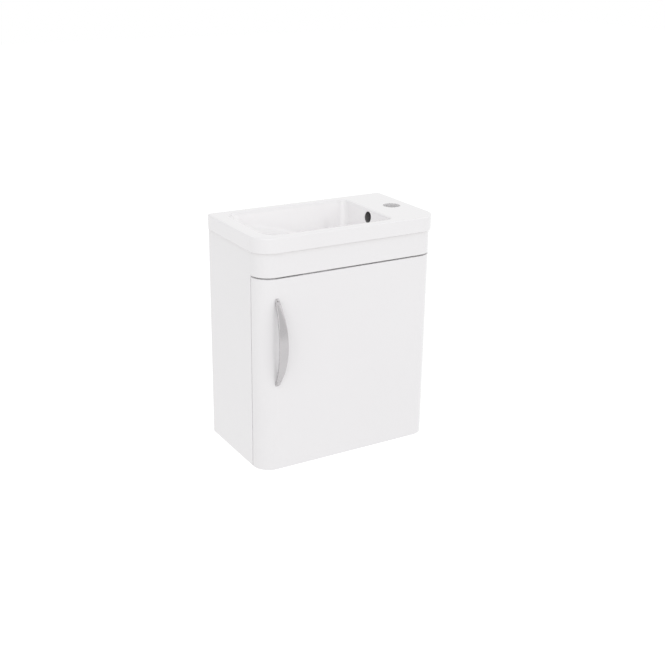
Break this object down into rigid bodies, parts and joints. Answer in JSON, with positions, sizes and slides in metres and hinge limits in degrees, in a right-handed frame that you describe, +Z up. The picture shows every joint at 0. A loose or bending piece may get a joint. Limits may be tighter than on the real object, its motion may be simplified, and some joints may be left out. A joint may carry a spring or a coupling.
{
  "type": "wall-hung cloakroom vanity unit",
  "caption": "Slim ceramic basin with offset bowl and tap ledge on a gloss white wall-hung cabinet with a curved-end hinged door and a bow handle.",
  "frame": {"origin": "on the wall plane, in the middle of the cabinet's bottom edge", "axes": "+X to the right across the front, +Y back into the wall, +Z up"},
  "size_m": [0.4, 0.248, 0.47],
  "materials": {
    "glazed_ceramic": "gloss glaze",
    "gloss_white_board": "gloss white lacquer over board",
    "inner_white_board": "matt white melamine over board",
    "chrome_handle": "polished chrome",
    "zinc_plated_steel": "bright zinc plate",
    "zinc_casting": "plain zinc casting",
    "hinge_steel": "nickel plate",
    "beech_dowel": "fluted beech",
    "catch_plastic": "white moulding",
    "catch_ferrite": "dark ferrite",
    "clear_rubber": "clear soft bumper"
  },
  "bodies": {
    "carcass": {"basin": "glazed_ceramic", "side_panel_left": "gloss_white_board", "side_panel_right": "gloss_white_board", "bottom_panel": "inner_white_board", "front_rail": "inner_white_board", "back_rail_top": "inner_white_board", "back_rail_low": "inner_white_board", "fascia_panel": "gloss_white_board", "fascia_screws": "zinc_plated_steel", "panel_dowels": "beech_dowel", "cam_bolts": "zinc_plated_steel", "cam_locks": "zinc_casting", "hinge_leaf_fixed_lower": "hinge_steel", "hinge_leaf_fixed_upper": "hinge_steel", "hinge_pin_lower": "hinge_steel", "hinge_pin_upper": "hinge_steel", "hinge_screws_cabinet": "hinge_steel", "catch_housing": "catch_plastic", "catch_magnet": "catch_ferrite", "catch_poles": "zinc_plated_steel", "catch_screws": "zinc_plated_steel", "door_buffers": "clear_rubber"},
    "door": {"door_panel": "gloss_white_board", "handle_bow": "chrome_handle", "handle_screws": "zinc_plated_steel", "hinge_leaf_moving_lower": "hinge_steel", "hinge_leaf_moving_upper": "hinge_steel", "hinge_screws_door": "hinge_steel", "strike_plate": "zinc_plated_steel", "strike_screws": "zinc_plated_steel"}
  },
  "joints": [
    {"name": "door_swing", "type": "hinge", "parent": "carcass", "child": "door", "pos_m": [0.1976, -0.18225, 0.195], "axis": [0, 0, 1], "range_deg": [0, 110]}
  ]
}
